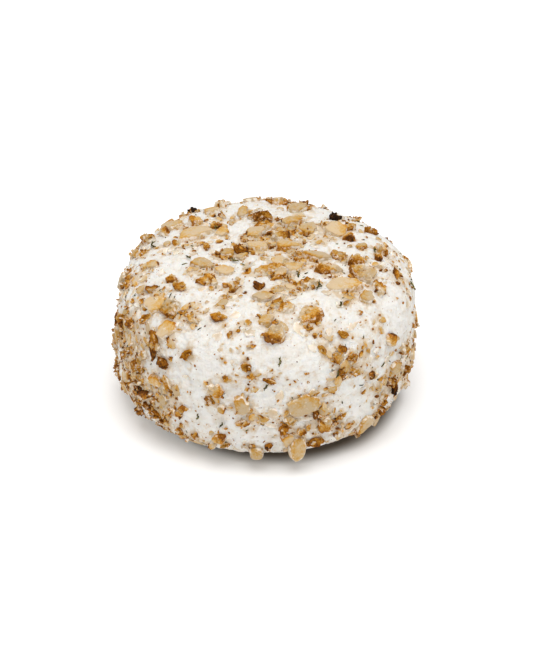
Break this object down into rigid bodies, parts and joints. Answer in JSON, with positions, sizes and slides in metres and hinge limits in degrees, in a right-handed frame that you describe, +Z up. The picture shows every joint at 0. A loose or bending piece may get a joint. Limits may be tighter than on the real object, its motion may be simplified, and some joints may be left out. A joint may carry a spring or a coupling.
{
  "type": "walnut-coated fresh goat cheese",
  "caption": "Small round fresh goat cheese rolled in chopped walnut pieces, with full shoulders, a tucked foot and a flat base.",
  "frame": {"origin": "middle of the flat base the cheese rests on", "axes": "+Z up through the middle of the cheese, -Y towards the side the picture shows, +X to that side's right"},
  "size_m": [0.0676, 0.0664, 0.0382],
  "materials": {
    "cheese": "matte white curd with pale and brown walnut pieces"
  },
  "bodies": {
    "root": {"walnut_goat_cheese": "cheese"}
  },
  "joints": []
}
